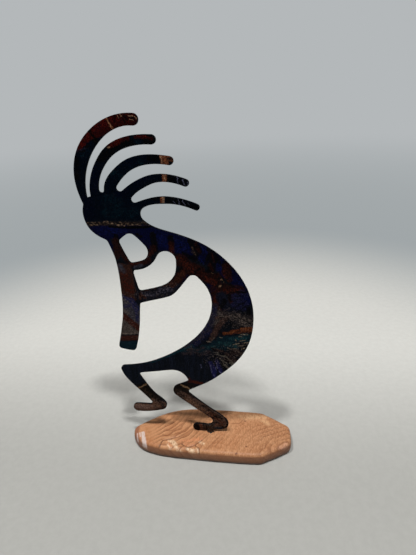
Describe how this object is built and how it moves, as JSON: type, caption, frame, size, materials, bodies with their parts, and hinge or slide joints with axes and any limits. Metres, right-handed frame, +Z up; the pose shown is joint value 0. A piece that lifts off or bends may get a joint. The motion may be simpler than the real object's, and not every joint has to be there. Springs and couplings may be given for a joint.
{
  "type": "kokopelli figurine",
  "caption": "Flat cut-steel flute player with curved head plumes and a dark heat-toned painted finish, standing on one foot on a smoothed wooden slab.",
  "frame": {"origin": "centre of the wooden slab's underside, where it rests", "axes": "+Z up; +X along the slab to the figure's back, so the flute player faces -X; +Y from the side with the weld to the far side, through the plate's thickness"},
  "size_m": [0.1695, 0.057, 0.3023],
  "materials": {
    "painted_steel": "dark indigo and teal paint over heat-toned steel, with rust, tan and violet areas, satin",
    "oiled_wood": "light orange-tan wood with wavy grain, oiled, satin",
    "blackened_steel": "blackened rod and weld bead, rough"
  },
  "bodies": {
    "root": {"figure": "painted_steel", "base": "oiled_wood", "mounting_pin": "blackened_steel"}
  },
  "joints": []
}
